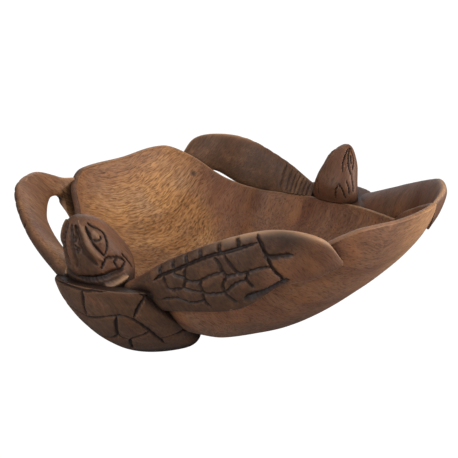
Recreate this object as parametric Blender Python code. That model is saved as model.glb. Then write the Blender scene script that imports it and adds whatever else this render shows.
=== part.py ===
"""Carved wooden bowl held between two sea turtles, one closed solid per carved region.

Frame: metres, +Z up, the bowl rests on z = 0 and is centred on the origin. X runs from
turtle to turtle, with the near turtle at -X and the far turtle at +X. The carving repeats
after half a turn about Z, apart from small differences between the two turtles: the left
flippers loop differently, the far head is slimmer and only the near shell's top is tilted.

The real bowl is one block of wood. Its regions are split along the carved creases, with
a hair's breadth between them.
"""

import math

import bmesh
import bpy
from mathutils import Matrix, Vector

MM = 0.001
CLEARANCE = 0.3 * MM

# Rim of the basin over the first half turn: angle from +X in degrees, radius and height
# in mm, and how hollow the wall runs below the rim (power of its radius). The low rim ends
# carry the turtles; the high corners are near 65 and 115 degrees.
RIM = (
    (0, 122, 57.5, 1.5),
    (14, 125, 57.5, 1.5),
    (23, 128, 57, 1.5),
    (31, 131, 57, 1.5),
    (36, 129, 60, 1.5),
    (42, 125.5, 65, 1.5),
    (50, 126.5, 73.5, 1.55),
    (60, 134, 89, 1.6),
    (70, 141, 99.5, 1.7),
    (90, 136, 96, 1.85),
    (110, 139.5, 94.5, 2),
    (120, 134, 86.5, 1.9),
    (130, 124.5, 75, 1.6),
    (138, 124, 65.5, 1.5),
    (144, 128, 60, 1.5),
    (149, 131, 57, 1.5),
    (157, 128, 57, 1.5),
    (166, 125, 57.5, 1.5),
)
RIM_THICKNESS = 4.5 * MM

# Wall profile from the foot to the rim. Turning from 0 to 90 degrees, the radius grows
# as a power of the sine (given with the rim) and the height as one minus a power of the
# cosine.
FOOT_RADIUS = 50 * MM
FLOOR_RADIUS = 38 * MM
FLOOR_HEIGHT = 9 * MM
HEIGHT_POWER = 1.17
WALL_STEPS = 12
WALL_SIDES = 80
BLOCK_TOP = 60 * MM

# Turtle shell on the outside of the near end wall.
SHELL_TOP = 65 * MM
SHELL_TOP_SLOPE = 0.22
NEAR_SHELL_TILT = 0.1
FAR_SHELL_TILT = 0
SHELL_SWAY_AT_GROUND = -8 * MM
SHELL_SWAY_AT_TOP = 6 * MM
SHELL_FRONT_AT_GROUND = 108 * MM
SHELL_FRONT_AT_TOP = 158 * MM
SHELL_FRONT_POWER = 0.8
SHELL_FRONT_BULGE = 6 * MM
SHELL_SIDE_BULGE = 5 * MM
SHELL_BACK_AT_GROUND = 46 * MM
SHELL_BACK_AT_TOP = 104 * MM
SHELL_HALF_WIDTH_AT_GROUND = 30 * MM
SHELL_HALF_WIDTH_AT_TOP = 41 * MM
SHELL_PLAN_POWER_AT_GROUND = 1.7
SHELL_PLAN_POWER_AT_TOP = 2.2
SHELL_STEPS = 10
SHELL_SIDES = 44

# Turtle head: height, distance of the section's middle from the bowl's axis, half depth
# and half width of each level section, in mm, from the neck up to the beak.
HEAD_SECTIONS = (
    (52, 132.5, 11, 22),
    (59, 132.5, 15, 25),
    (67, 132, 18, 24),
    (75, 133, 19.5, 21.5),
    (86, 137.5, 17.5, 17.5),
    (95, 141, 13.5, 12.5),
    (101, 144, 8, 7.5),
    (103.5, 146, 3, 3),
)
FAR_HEAD_SLIMNESS = 0.86
FAR_HEAD_LEAN = 5 * MM
HEAD_STEPS = 18
HEAD_SIDES = 28

# Flipper blades: the two long edges of each blade, in mm, from the tip on the bowl's
# corner round to the turtle's shoulder. Written for the quarter where x and y are both
# positive; the near turtle's flippers are these points mirrored or turned into place.
RIGHT_TOP_EDGE = ((60, 127, 83), (82, 128, 101), (98, 108, 106), (116, 86, 100),
                  (128, 52, 82), (137, 27, 62))
RIGHT_LOW_EDGE = ((61, 126, 79), (75, 116, 73), (91, 109, 72), (108, 90, 58),
                  (117, 55, 50), (112, 20, 42))
NEAR_LEFT_TOP_EDGE = ((60, 121, 91), (68, 124, 92), (76, 127, 95), (96, 123, 101),
                      (122, 104, 97), (140, 63, 80), (144, 20, 62))
NEAR_LEFT_LOW_EDGE = ((60, 117, 50), (66, 119, 57), (70, 121, 67), (74, 121, 77), (88, 116, 80),
                      (106, 94, 67), (115, 55, 49), (118, 20, 38))
FAR_LEFT_TOP_EDGE = ((63, 122, 90), (79, 121, 96), (95, 112, 98), (115, 97, 93),
                     (138, 62, 78), (149, 22, 60))
FAR_LEFT_LOW_EDGE = ((63, 119, 70), (75, 115, 73), (89, 106, 74), (104, 90, 66),
                     (115, 55, 49), (118, 20, 38))
BLADE_TIP_THICKNESS = 4 * MM
BLADE_THICKNESS = 9 * MM
BLADE_ROOT_THICKNESS = 16 * MM
BLADE_EDGE_POWER = 0.75
BLADE_STEPS = 24
BLADE_SIDES = 14

HALF_TURN = Matrix.Rotation(math.pi, 4, "Z")


def mix(start, end, share):
    """Value or vector at a share of the way from start to end."""
    return start + (end - start) * share


def smooth(before, start, end, after, share):
    """Catmull-Rom blend between start and end, guided by their outer neighbours."""
    slope_in = (end - before) / 2
    slope_out = (after - start) / 2
    square = share * share
    cube = square * share
    return (start * (2 * cube - 3 * square + 1) + slope_in * (cube - 2 * square + share)
            + end * (3 * square - 2 * cube) + slope_out * (cube - square))


def along(points, share):
    """Point at a share (0 to 1) along an open smooth curve through the points."""
    place = min(max(share, 0), 1) * (len(points) - 1)
    index = min(int(place), len(points) - 2)
    before = points[index - 1] if index > 0 else points[0] * 2 - points[1]
    last = points[-1] * 2 - points[-2]
    after = points[index + 2] if index + 2 < len(points) else last
    return smooth(before, points[index], points[index + 1], after, place - index)


def rim_at(angle):
    """Rim radius, height and wall power at an angle in degrees, repeating every half turn."""
    angle = angle % 180
    rows = [Vector(row) for row in RIM]
    period = Vector((180, 0, 0, 0))
    rows = [rows[-2] - period, rows[-1] - period, *rows, rows[0] + period, rows[1] + period]
    index = max(i for i in range(1, len(rows) - 2) if rows[i].x <= angle)
    share = (angle - rows[index].x) / (rows[index + 1].x - rows[index].x)
    point = smooth(rows[index - 1], rows[index], rows[index + 1], rows[index + 2], share)
    return point.y * MM, point.z * MM, point.w


def wall_ring(turn, foot, rim_inset, floor, lift=0.0):
    """Level-by-level loop of the basin wall; turn runs from 0 (foot) to 1 (rim)."""
    up_share = 1 - abs(math.cos(turn * math.pi / 2)) ** HEIGHT_POWER
    ring = []
    for side in range(WALL_SIDES):
        angle = 360 * side / WALL_SIDES
        rim_radius, rim_height, power = rim_at(angle)
        out_share = math.sin(turn * math.pi / 2) ** power
        radius = mix(foot, rim_radius - rim_inset, out_share)
        height = mix(floor, rim_height, up_share) + lift
        bearing = math.radians(angle)
        ring.append(Vector((radius * math.cos(bearing), radius * math.sin(bearing), height)))
    return ring


def basin_rings(grow=0.0):
    """Loops of the basin from its foot, over the rim, down to the inner floor."""
    foot = FOOT_RADIUS + grow
    rings = [wall_ring(step / WALL_STEPS, foot, -grow, -grow) for step in range(WALL_STEPS)]
    lip_drop = RIM_THICKNESS / 4
    rings.append(wall_ring(1, foot, -grow, -grow, lift=-lip_drop))
    rings.append(wall_ring(1, foot, RIM_THICKNESS / 4 - grow / 2, 0, lift=grow))
    rings.append(wall_ring(1, foot, RIM_THICKNESS * 3 / 4 + grow / 2, 0, lift=grow))
    inset = RIM_THICKNESS + grow
    floor = FLOOR_HEIGHT + grow
    rings.append(wall_ring(1, FLOOR_RADIUS, inset, floor, lift=-lip_drop))
    for step in range(WALL_STEPS - 1, -1, -1):
        rings.append(wall_ring(step / WALL_STEPS, FLOOR_RADIUS, inset, floor))
    return rings


def basin_block_rings(grow):
    """Loops of the space that the basin takes with its hollow, up past the rim."""
    foot = FOOT_RADIUS + grow
    rings = [wall_ring(step / WALL_STEPS, foot, -grow, -grow)
             for step in range(WALL_STEPS + 1)]
    rings.append(wall_ring(1, foot, -grow, -grow, lift=BLOCK_TOP))
    return rings


def shell_rings(tilt, grow=0.0):
    """Level loops of the near turtle's shell, pointed at the ground and broad on top."""
    rings = []
    for step in range(SHELL_STEPS + 1):
        share = step / SHELL_STEPS
        front = mix(SHELL_FRONT_AT_GROUND, SHELL_FRONT_AT_TOP, share ** SHELL_FRONT_POWER)
        front += SHELL_FRONT_BULGE * math.sin(math.pi * share) + grow
        back = mix(SHELL_BACK_AT_GROUND, SHELL_BACK_AT_TOP, share)
        half_width = mix(SHELL_HALF_WIDTH_AT_GROUND, SHELL_HALF_WIDTH_AT_TOP, share)
        half_width += SHELL_SIDE_BULGE * math.sin(math.pi * share) + grow
        power = 2 / mix(SHELL_PLAN_POWER_AT_GROUND, SHELL_PLAN_POWER_AT_TOP, share)
        ring = []
        for side in range(SHELL_SIDES):
            bearing = 2 * math.pi * side / SHELL_SIDES
            reach = abs(math.cos(bearing)) ** power
            spread = math.copysign(abs(math.sin(bearing)) ** power, math.sin(bearing))
            ends_at = front if math.cos(bearing) > 0 else back
            middle = (front + back) / 2
            distance = mix(middle, ends_at, reach)
            across = half_width * spread + mix(SHELL_SWAY_AT_GROUND, SHELL_SWAY_AT_TOP, share)
            top = SHELL_TOP - (front - distance) * SHELL_TOP_SLOPE + across * tilt
            ring.append(Vector((-distance, -across, (top + grow) * share)))
        rings.append(ring)
    return rings


def head_rings(slimness, lean, grow=0.0):
    """Level loops of the near turtle's head, slimmer or leaning in towards the bowl."""
    sections = [Vector(row) * MM for row in HEAD_SECTIONS]
    rings = []
    for step in range(HEAD_STEPS + 1):
        height, middle, half_depth, half_width = along(sections, step / HEAD_STEPS)
        depth = half_depth * slimness + grow
        width = half_width * slimness + grow
        ring = []
        for side in range(HEAD_SIDES):
            bearing = 2 * math.pi * side / HEAD_SIDES
            x = lean - middle + depth * math.cos(bearing)
            y = width * math.sin(bearing)
            ring.append(Vector((x, y, height + grow * step / HEAD_STEPS)))
        rings.append(ring)
    return rings


def blade_thickness(share):
    """Thickness of a flipper blade at a share of the way from tip to shoulder."""
    middle = mix(BLADE_TIP_THICKNESS, BLADE_THICKNESS, min(1, share * 4))
    return mix(middle, BLADE_ROOT_THICKNESS, max(0, share * 2 - 1) ** 2)


def blade_rings(top_edge, low_edge, side_sign):
    """Loops of one near flipper across its blade, from tip to shoulder."""
    place = Vector((-1, side_sign, 1)) * MM
    top_points = [Vector(point) * place for point in top_edge]
    low_points = [Vector(point) * place for point in low_edge]
    rings = []
    for step in range(BLADE_STEPS + 1):
        share = step / BLADE_STEPS
        top = along(top_points, share)
        low = along(low_points, share)
        ahead = along(top_points, share + 0.01) + along(low_points, share + 0.01)
        behind = along(top_points, share - 0.01) + along(low_points, share - 0.01)
        half_width = (top - low) / 2
        out = half_width.cross(ahead - behind).normalized() * blade_thickness(share) / 2
        ring = []
        for side in range(BLADE_SIDES):
            bearing = 2 * math.pi * side / BLADE_SIDES
            swell = math.copysign(abs(math.sin(bearing)) ** BLADE_EDGE_POWER, math.sin(bearing))
            ring.append((top + low) / 2 + half_width * math.cos(bearing) + out * swell)
        rings.append(ring)
    return rings


def clear_scene():
    """Remove every object of the opened scene."""
    for item in list(bpy.data.objects):
        bpy.data.objects.remove(item, do_unlink=True)


def wood(name, colour, roughness):
    """Plain oiled wood material."""
    material = bpy.data.materials.new(name)
    material.use_nodes = True
    shader = material.node_tree.nodes["Principled BSDF"]
    shader.inputs["Base Color"].default_value = (*colour, 1)
    shader.inputs["Roughness"].default_value = roughness
    shader.inputs["Metallic"].default_value = 0
    return material


def loft(name, rings, placing):
    """Closed solid object through a stack of loops, capped at both ends."""
    mesh_builder = bmesh.new()
    loops = [[mesh_builder.verts.new(placing @ point) for point in ring] for ring in rings]
    for lower, upper in zip(loops, loops[1:]):
        for index in range(len(lower)):
            following = (index + 1) % len(lower)
            mesh_builder.faces.new((lower[index], lower[following],
                                    upper[following], upper[index]))
    mesh_builder.faces.new(loops[0])
    mesh_builder.faces.new(loops[-1])
    bmesh.ops.recalc_face_normals(mesh_builder, faces=mesh_builder.faces)
    mesh = bpy.data.meshes.new(name)
    mesh_builder.to_mesh(mesh)
    mesh_builder.free()
    mesh.shade_smooth()
    mesh.set_sharp_from_angle(angle=math.radians(40))
    solid = bpy.data.objects.new(name, mesh)
    bpy.context.collection.objects.link(solid)
    return solid


def cutter(name, rings, placing):
    """Hidden solid that only serves to cut others."""
    solid = loft(name, rings, placing)
    solid.hide_render = True
    solid.display_type = "WIRE"
    return solid


def cut(solid, cutters):
    """Take the cutters away from a solid."""
    for index, tool in enumerate(cutters):
        modifier = solid.modifiers.new(f"clear_{index}", "BOOLEAN")
        modifier.operation = "DIFFERENCE"
        modifier.solver = "EXACT"
        modifier.object = tool


def build_turtle(end, placing, shell_tilt, head_shape, left_edges, basin_cutters):
    """Shell, head and two flippers of one turtle, cut clear of each other and the basin."""
    basin_space, basin_block = basin_cutters
    shell = loft(f"{end}_shell", shell_rings(shell_tilt), placing)
    head = loft(f"{end}_head", head_rings(*head_shape), placing)
    right = loft(f"{end}_right_flipper",
                 blade_rings(RIGHT_TOP_EDGE, RIGHT_LOW_EDGE, -1), placing)
    left = loft(f"{end}_left_flipper", blade_rings(*left_edges, 1), placing)
    shell_space = cutter(f"{end}_shell_space", shell_rings(shell_tilt, CLEARANCE), placing)
    head_space = cutter(f"{end}_head_space", head_rings(*head_shape, CLEARANCE), placing)
    cut(shell, [basin_block])
    cut(head, [basin_space, shell_space])
    cut(right, [basin_space, shell_space, head_space])
    cut(left, [basin_space, shell_space, head_space])
    shell.data.materials.append(wood(f"{end}_shell_wood", (0.10, 0.055, 0.038), 0.5))
    head.data.materials.append(wood(f"{end}_head_wood", (0.16, 0.085, 0.05), 0.45))
    for flipper in (right, left):
        flipper.data.materials.append(wood(f"{flipper.name}_wood", (0.14, 0.07, 0.045), 0.45))


def main():
    """Build the basin and the two turtles."""
    clear_scene()
    as_drawn = Matrix.Identity(4)
    basin = loft("basin", basin_rings(), as_drawn)
    basin.data.materials.append(wood("basin_wood", (0.30, 0.14, 0.06), 0.4))
    basin_cutters = (cutter("basin_space", basin_rings(CLEARANCE), as_drawn),
                     cutter("basin_block", basin_block_rings(CLEARANCE), as_drawn))
    build_turtle("near", as_drawn, NEAR_SHELL_TILT, (1, 0),
                 (NEAR_LEFT_TOP_EDGE, NEAR_LEFT_LOW_EDGE), basin_cutters)
    build_turtle("far", HALF_TURN, FAR_SHELL_TILT, (FAR_HEAD_SLIMNESS, FAR_HEAD_LEAN),
                 (FAR_LEFT_TOP_EDGE, FAR_LEFT_LOW_EDGE), basin_cutters)


main()
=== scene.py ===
"""Looks of the carved wooden bowl with two sea turtles.

Every region of the carving is a dense closed mesh grown from the same forms as the CAD
solids. Grooves, scales, plates and eyes are cut into the meshes along short lines drawn on
each surface; the wood itself is procedural. Lengths on the drawing are millimetres, and
UNIT turns them into the frame's metres.
"""

import math

import bmesh
import bpy
import numpy as np
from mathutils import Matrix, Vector


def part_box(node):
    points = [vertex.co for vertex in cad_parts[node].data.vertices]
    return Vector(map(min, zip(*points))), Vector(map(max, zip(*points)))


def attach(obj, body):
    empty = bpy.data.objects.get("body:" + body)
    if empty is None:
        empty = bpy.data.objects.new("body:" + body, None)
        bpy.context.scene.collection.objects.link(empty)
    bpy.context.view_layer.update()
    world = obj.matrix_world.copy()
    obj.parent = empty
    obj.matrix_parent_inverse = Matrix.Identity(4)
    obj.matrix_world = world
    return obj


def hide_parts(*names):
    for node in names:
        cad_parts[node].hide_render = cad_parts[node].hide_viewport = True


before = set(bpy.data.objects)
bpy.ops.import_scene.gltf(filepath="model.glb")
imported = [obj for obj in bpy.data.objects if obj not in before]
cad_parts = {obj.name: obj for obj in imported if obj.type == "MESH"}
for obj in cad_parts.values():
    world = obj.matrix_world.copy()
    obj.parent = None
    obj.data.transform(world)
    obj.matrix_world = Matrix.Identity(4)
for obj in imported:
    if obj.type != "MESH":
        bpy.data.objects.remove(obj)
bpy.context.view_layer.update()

BASIN_LENGTH = 244.4
basin_low, basin_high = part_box("basin")
UNIT = (basin_high.x - basin_low.x) / BASIN_LENGTH

# ---------------------------------------------------------------- forms, in drawing mm

# Rim over the first half turn: angle from +X in degrees, radius, height, and how hollow
# the wall runs below it.
RIM = (
    (0, 122, 57.5, 1.5),
    (14, 125, 57.5, 1.5),
    (23, 128, 57, 1.5),
    (31, 131, 57, 1.5),
    (36, 129, 60, 1.5),
    (42, 125.5, 65, 1.5),
    (50, 126.5, 73.5, 1.55),
    (60, 134, 89, 1.6),
    (70, 141, 99.5, 1.7),
    (90, 136, 96, 1.85),
    (110, 139.5, 94.5, 2),
    (120, 134, 86.5, 1.9),
    (130, 124.5, 75, 1.6),
    (138, 124, 65.5, 1.5),
    (144, 128, 60, 1.5),
    (149, 131, 57, 1.5),
    (157, 128, 57, 1.5),
    (166, 125, 57.5, 1.5),
)
RIM_THICKNESS = 4.5
FOOT_RADIUS = 50
FLOOR_RADIUS = 38
FLOOR_HEIGHT = 9
HEIGHT_POWER = 1.17

# Pairs of shell sizes are at its bottom and at its top.
SHELL_TOP = 65
SHELL_TOP_SLOPE = 0.22
NEAR_SHELL_TILT = 0.1
FAR_SHELL_TILT = 0
SHELL_SWAY = (-8, 6)
SHELL_FRONT = (108, 158)
SHELL_FRONT_POWER = 0.8
SHELL_FRONT_BULGE = 6
SHELL_BACK = (46, 104)
SHELL_HALF_WIDTH = (30, 41)
SHELL_SIDE_BULGE = 5
SHELL_PLAN_POWER = (1.7, 2.2)

# How far the shells, heads and flippers reach into the thickness of the wall.
SUNK = 2

# Head sections: height, distance from the bowl's axis, half depth, half width.
HEAD_SECTIONS = (
    (52, 132.5, 11, 22),
    (59, 132.5, 15, 25),
    (67, 132, 18, 24),
    (75, 133, 19.5, 21.5),
    (86, 137.5, 17.5, 17.5),
    (95, 141, 13.5, 12.5),
    (101, 144, 8, 7.5),
    (103.5, 146, 3, 3),
)
NEAR_HEAD_SLIMNESS = 1
NEAR_HEAD_LEAN = 0
FAR_HEAD_SLIMNESS = 0.86
FAR_HEAD_LEAN = 5

# Long edges of the flipper blades, from the tip on the bowl's corner to the shoulder.
RIGHT_TOP_EDGE = ((60, 127, 83), (82, 128, 101), (98, 108, 106), (116, 86, 100),
                  (128, 52, 82), (137, 27, 62))
RIGHT_LOW_EDGE = ((61, 126, 79), (75, 116, 73), (91, 109, 72), (108, 90, 58),
                  (117, 55, 50), (112, 20, 42))
NEAR_LEFT_TOP_EDGE = ((60, 121, 91), (68, 124, 92), (76, 127, 95), (96, 123, 101),
                      (122, 104, 97), (140, 63, 80), (144, 20, 62))
NEAR_LEFT_LOW_EDGE = ((60, 117, 50), (66, 119, 57), (70, 121, 67), (74, 121, 77), (88, 116, 80),
                      (106, 94, 67), (115, 55, 49), (118, 20, 38))
FAR_LEFT_TOP_EDGE = ((63, 122, 90), (79, 121, 96), (95, 112, 98), (115, 97, 93),
                     (138, 62, 78), (149, 22, 60))
FAR_LEFT_LOW_EDGE = ((63, 119, 70), (75, 115, 73), (89, 106, 74), (104, 90, 66),
                     (115, 55, 49), (118, 20, 38))
# Thickness of a blade at its tip, along its length and at its shoulder. Its direction is
# taken from BLADE_STEP before a share of its length to BLADE_STEP after it.
BLADE_THICKNESS = (4, 9, 16)
BLADE_EDGE_POWER = 0.75
BLADE_STEP = 0.01

# Sign of Y on each side of the near turtle.
RIGHT_SIDE = -1
LEFT_SIDE = 1


TINY = 1e-9


def mix(start, end, share):
    """Value at a share of the way from start to end."""
    return start + (end - start) * share


def soft_step(values, low, high):
    """Smooth rise from 0 at low to 1 at high."""
    share = np.clip((values - low) / (high - low), 0, 1)
    return share * share * (3 - 2 * share)


def soft_band(values, limits):
    """Smooth band that starts, is full, starts to go and is gone at the four limits."""
    start, full, going, gone = limits
    return soft_step(values, start, full) * (1 - soft_step(values, going, gone))


def blend(before, start, end, after, share):
    """Catmull-Rom blend between start and end, guided by their outer neighbours."""
    slope_in = (end - before) / 2
    slope_out = (after - start) / 2
    square = share ** 2
    cube = share ** 3
    return (start * (2 * cube - 3 * square + 1) + slope_in * (cube - 2 * square + share)
            + end * (3 * square - 2 * cube) + slope_out * (cube - square))


def along(points, shares):
    """Points at shares (0 to 1) along an open smooth curve through the given points."""
    knots = np.array(points, float)
    knots = np.vstack([2 * knots[0] - knots[1], knots, 2 * knots[-1] - knots[-2]])
    place = np.clip(shares, 0, 1) * (len(points) - 1)
    index = np.minimum(place.astype(int), len(points) - 2)
    share = (place - index)[..., None]
    return blend(knots[index], knots[index + 1], knots[index + 2], knots[index + 3], share)


def rim_at(angles):
    """Rim radius, height and wall power at angles in degrees, repeating every half turn."""
    rows = np.array(RIM, float)
    period = np.array((180, 0, 0, 0))
    rows = np.vstack([rows[-2:] - period, rows, rows[:2] + period])
    angles = np.mod(angles, 180)
    index = np.searchsorted(rows[:, 0], angles, side="right") - 1
    share = (angles - rows[index, 0]) / (rows[index + 1, 0] - rows[index, 0])
    curve = blend(rows[index - 1], rows[index], rows[index + 1], rows[index + 2],
                  share[..., None])
    return curve[..., 1], curve[..., 2], curve[..., 3]


def wall_point(angles, turns, foot, rim_inset, floor):
    """Points of a wall surface at angles (degrees) and turns (0 at the foot, 1 at the rim)."""
    rim_radius, rim_height, power = rim_at(angles)
    out_share = np.sin(turns * np.pi / 2) ** power
    up_share = 1 - np.abs(np.cos(turns * np.pi / 2)) ** HEIGHT_POWER
    radius = mix(foot, rim_radius - rim_inset, out_share)
    height = mix(floor, rim_height, up_share)
    bearing = np.radians(angles)
    return np.stack([radius * np.cos(bearing), radius * np.sin(bearing), height], -1)


def wall_radius(angles, heights):
    """Outer radius of the wall at angles in degrees and heights."""
    rim_radius, rim_height, power = rim_at(angles)
    left = np.clip(1 - heights / rim_height, 0, 1) ** (1 / HEIGHT_POWER)
    return mix(FOOT_RADIUS, rim_radius, np.sqrt(1 - left ** 2) ** power)


def power_sign(values, power):
    """Signed power, which squares up or rounds off a circle's sine or cosine."""
    return np.sign(values) * np.abs(values) ** power


def shell_point(tilt, shares, bearings):
    """Points of the near shell at shares of its height and bearings round its plan."""
    swell = np.sin(np.pi * shares)
    front = mix(*SHELL_FRONT, shares ** SHELL_FRONT_POWER) + SHELL_FRONT_BULGE * swell
    back = mix(*SHELL_BACK, shares)
    half_width = mix(*SHELL_HALF_WIDTH, shares) + SHELL_SIDE_BULGE * swell
    power = 2 / mix(*SHELL_PLAN_POWER, shares)
    reach = np.abs(np.cos(bearings)) ** power
    middle = (front + back) / 2
    distance = mix(middle, np.where(np.cos(bearings) > 0, front, back), reach)
    across = half_width * power_sign(np.sin(bearings), power) + mix(*SHELL_SWAY, shares)
    top = SHELL_TOP - (front - distance) * SHELL_TOP_SLOPE + across * tilt
    return np.stack([-distance, -across, top * shares], -1)


def head_point(slimness, lean, shares, bearings):
    """Points of a near head at shares of its height and bearings round its axis."""
    height, middle, depth, width = np.moveaxis(along(HEAD_SECTIONS, shares), -1, 0)
    return np.stack([lean - middle + depth * slimness * np.cos(bearings),
                     width * slimness * np.sin(bearings), height], -1)


def blade_point(top_edge, low_edge, side_sign, shares, bearings):
    """Points of a near flipper, from tip (0) to shoulder (1), at bearings round the blade.

    Bearing 0 is the top edge, half a turn the low edge, and the outer face has sine > 0.
    """
    place = np.array((-1, side_sign, 1))
    top = along(top_edge, shares) * place
    low = along(low_edge, shares) * place
    before = shares - BLADE_STEP
    after = shares + BLADE_STEP
    behind = (along(top_edge, before) + along(low_edge, before)) * place
    ahead = (along(top_edge, after) + along(low_edge, after)) * place
    half_width = (top - low) / 2
    out = np.cross(half_width, ahead - behind)
    out *= -side_sign / np.linalg.norm(out, axis=-1, keepdims=True)
    thin, full, root = BLADE_THICKNESS
    thickness = mix(mix(thin, full, np.minimum(1, shares * 4)), root,
                    np.maximum(0, shares * 2 - 1) ** 2)
    swell = power_sign(np.sin(bearings), BLADE_EDGE_POWER) * thickness / 2
    return (top + low) / 2 + half_width * np.cos(bearings)[..., None] + out * swell[..., None]


def half_turned(points):
    """Near points turned half a turn about Z, which puts them on the far turtle."""
    return points * np.array((-1, -1, 1))


def outside_wall(points, below_rim_only):
    """Points pushed out of the bowl's hollow, so that they end inside the thickness of its wall."""
    angles = np.degrees(np.arctan2(points[..., 1], points[..., 0]))
    heights = np.maximum(points[..., 2], 0)
    radius = np.hypot(points[..., 0], points[..., 1])
    least = wall_radius(angles, heights) - SUNK
    inside = radius < least
    if below_rim_only:
        inside &= heights < rim_at(angles)[1]
    push = np.where(inside, least / np.maximum(radius, 1), 1)
    return points * np.stack([push, push, np.ones_like(push)], -1)


# ---------------------------------------------------------------- carving

# Knife strokes are smooth lines through points drawn on a surface.

# Shell: share of its height, and bearing in radians from the front, positive to the right.
SHELL_MIDDLE_STROKES = (
    ((0.99, -1.1), (0.98, -0.5), (0.95, 0.14), (0.97, 0.36), (0.985, 0.62)),
    ((0.95, 0.14), (0.87, 0.13), (0.78, 0.1), (0.65, 0.08)),
    ((0.67, -0.42), (0.65, -0.16), (0.62, 0.05), (0.63, 0.23), (0.67, 0.42)),
    ((0.29, -0.18), (0.29, 0.09), (0.34, 0.34), (0.41, 0.48)),
)
SHELL_SIDE_STROKES = (
    ((1, 1.2), (0.96, 1.33), (0.88, 1.19), (0.8, 1.06), (0.71, 0.95)),
    ((0.67, 0.4), (0.71, 0.68), (0.71, 0.77), (0.69, 0.87), (0.62, 0.98), (0.51, 1.07),
     (0.34, 1.13), (0.24, 1.14)),
    ((0.69, 0.65), (0.57, 0.57), (0.43, 0.5), (0.36, 0.54), (0.34, 0.64)),
    ((0.34, 0.64), (0.4, 0.8), (0.44, 0.95), (0.49, 1.05)),
    ((0.35, 1.14), (0.35, 1.28), (0.37, 1.45), (0.38, 1.64), (0.42, 1.89)),
    ((0.47, 1.92), (0.38, 1.8)),
    ((0.34, 0.64), (0.13, 0.47)),
)
# Its dark is a painted shadow in the crease where the shell meets the wall.
SHELL_CREASE = ((0.97, 1.38), (0.93, 1.43), (0.83, 1.56), (0.7, 1.77), (0.6, 1.92), (0.5, 2))

# Head: share of its height, and turn in radians from the front of the face; both sides alike.
EYE_STROKES = (
    ((0.8, 1.09), (0.72, 1.06), (0.64, 1.05), (0.575, 1.11), (0.515, 1.18)),
    ((0.85, 1.4), (0.8, 1.45), (0.71, 1.68), (0.64, 1.61), (0.575, 1.46), (0.52, 1.2)),
    ((0.675, 1.42), (0.65, 1.36), (0.638, 1.22), (0.655, 1.13)),
)
CHEEK_STROKES = (
    ((0.5, 1.2), (0.458, 1.03), (0.417, 0.91)),
    ((0.5, 1.2), (0.495, 1.4), (0.49, 1.6)),
    ((0.49, 1.6), (0.458, 1.39), (0.383, 1.39)),
    ((0.49, 1.6), (0.44, 1.75), (0.383, 1.45)),
    ((0.5, 1.82), (0.43, 1.9), (0.34, 2)),
)
BROW_STROKES = (
    ((0.82, 0.5), (0.72, 0.6), (0.6, 0.62), (0.52, 0.72), (0.45, 0.84)),
    ((0.82, 0.16), (0.7, 0.24), (0.6, 0.22), (0.5, 0.2), (0.4, 0.14)),
    ((0.6, 0.16), (0.56, 0.3), (0.58, 0.5)),
    ((0.7, 0.2), (0.66, 0.34), (0.68, 0.5)),
)
BROW_RIDGES = (
    ((0.84, 0.76), (0.72, 0.86), (0.6, 0.87), (0.54, 0.96), (0.48, 1.08)),
    ((0.62, 1.28), (0.68, 1.3), (0.73, 1.24)),
)
SHOULDER_STROKE = ((0.2, 0.8), (0.23, 1.15), (0.29, 1.6))
FAR_EYE_STROKES = (
    ((0.88, 2.1), (0.78, 2.32), (0.66, 2.45), (0.55, 2.4)),
    ((0.91, 1.75), (0.8, 2.02), (0.68, 2.12), (0.58, 2.02), (0.5, 1.8)),
    ((0.88, 1.6), (0.78, 1.66), (0.66, 1.66), (0.56, 1.78)),
    ((0.74, 1.88), (0.68, 1.94), (0.63, 1.86)),
)
FAR_CHEEK_STROKES = (
    ((0.43, 2.5), (0.34, 2.64), (0.2, 2.72)),
    ((0.43, 2.5), (0.34, 2.34), (0.2, 2.26)),
    ((0.46, 2.12), (0.38, 2), (0.26, 2.04)),
    ((0.5, 1.8), (0.4, 1.72), (0.3, 1.76)),
)
NECK_STROKE = ((0.27, 0), (0.29, 0.5), (0.33, 0.89), (0.37, 1.2), (0.38, 1.55))
SKULL_PITS = ((0.754, 0.2), (0.692, 0.3), (0.642, 0.33), (0.596, 0.35), (0.55, 0.36))

# Flipper: share from tip to shoulder, and place across the blade from its top edge (1) to
# its low edge (-1). The strokes outline the scales on the outer face.
SCALE_BORDERS = (
    ((0.84, 0.66), (0.81, 0.7), (0.76, 0.67), (0.71, 0.7), (0.67, 0.73), (0.63, 0.74),
     (0.6, 0.72), (0.54, 0.72), (0.48, 0.74)),
    ((0.47, 0.98), (0.47, 0.85), (0.46, 0.51), (0.45, 0.24), (0.44, -0.13), (0.42, -0.4),
     (0.4, -0.61), (0.39, -0.8)),
)
SPUR_STROKE = ((0.46, 0.28), (0.41, 0.2), (0.34, 0.24))
SCALE_STROKES = (
    ((0.44, -0.13), (0.48, -0.02), (0.53, 0.02), (0.56, 0.06), (0.58, 0.31), (0.6, 0.71)),
    ((0.63, 0.7), (0.62, 0.5), (0.61, 0.22), (0.6, 0.09), (0.56, 0.06)),
    ((0.6, 0.09), (0.62, -0.11), (0.62, -0.37), (0.6, -0.63), (0.59, -0.75)),
    ((0.53, 0.02), (0.54, -0.19), (0.52, -0.49)),
    ((0.54, -0.19), (0.58, -0.19), (0.62, -0.37)),
    ((0.72, 0.68), (0.73, 0.32), (0.7, 0.13), (0.65, 0.21), (0.61, 0.22)),
    ((0.68, 0.15), (0.69, -0.02), (0.68, -0.29), (0.65, -0.35), (0.62, -0.37)),
    ((0.69, -0.29), (0.69, -0.52), (0.68, -0.78)),
    ((0.76, 0.67), (0.76, 0.54), (0.73, 0.3), (0.74, 0), (0.69, -0.24)),
    ((0.8, 0.66), (0.8, 0.4), (0.79, 0.1), (0.74, 0)),
    ((0.84, -0.2), (0.78, -0.3), (0.74, -0.55), (0.69, -0.52)),
)
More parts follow.
